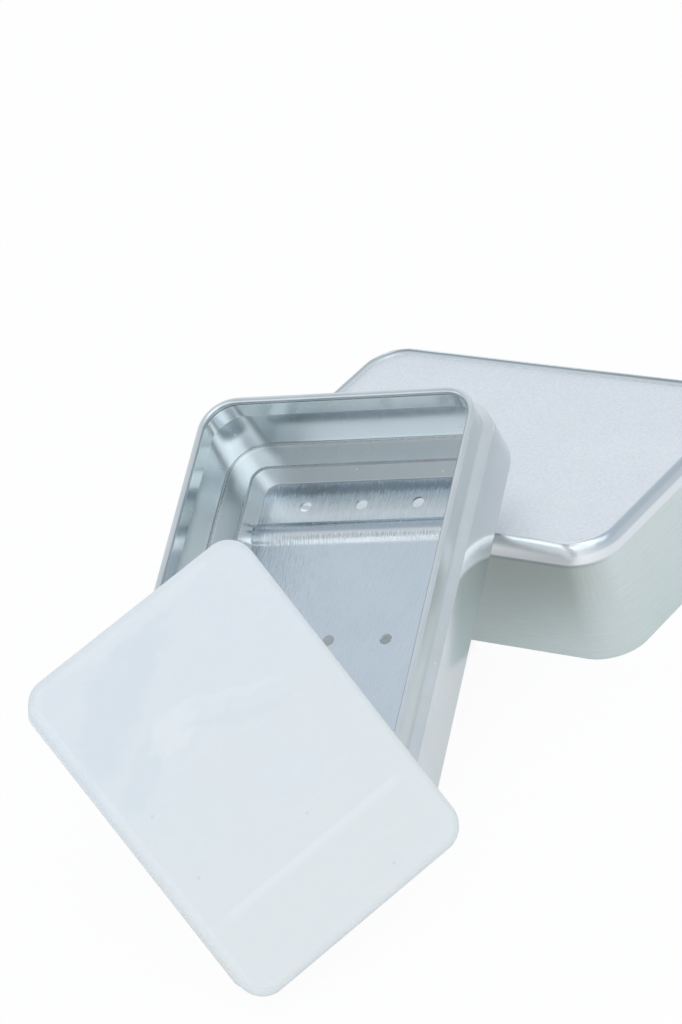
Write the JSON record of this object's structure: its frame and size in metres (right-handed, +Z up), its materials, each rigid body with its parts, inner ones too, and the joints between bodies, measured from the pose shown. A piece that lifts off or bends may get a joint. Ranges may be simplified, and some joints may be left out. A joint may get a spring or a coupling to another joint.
{
  "type": "alum block box",
  "caption": "Aluminium travel box for an alum block, laid open: perforated tray leaning on its lid, with the polished block leaning on the tray's rim.",
  "frame": {"origin": "centre of the bounding box's footprint, on the table plane", "axes": "+Z up from the table; +Y along the tray from its low near end towards the lid; +X across the tray"},
  "size_m": [0.1, 0.1874, 0.0661],
  "materials": {
    "bright_aluminium": "polished",
    "satin_aluminium": "satin",
    "polished_alum": "gloss"
  },
  "bodies": {
    "lid_body": {"lid": "satin_aluminium"},
    "tray_body": {"base_tray": "bright_aluminium"},
    "block_body": {"alum_block": "polished_alum"}
  },
  "joints": [
    {"name": "tray_lift", "type": "slide", "parent": "lid_body", "child": "tray_body", "axis": [0, 0, 1], "range_m": [0, 0.035]},
    {"name": "block_lift", "type": "slide", "parent": "tray_body", "child": "block_body", "axis": [0, 0, 1], "range_m": [0, 0.055]}
  ]
}
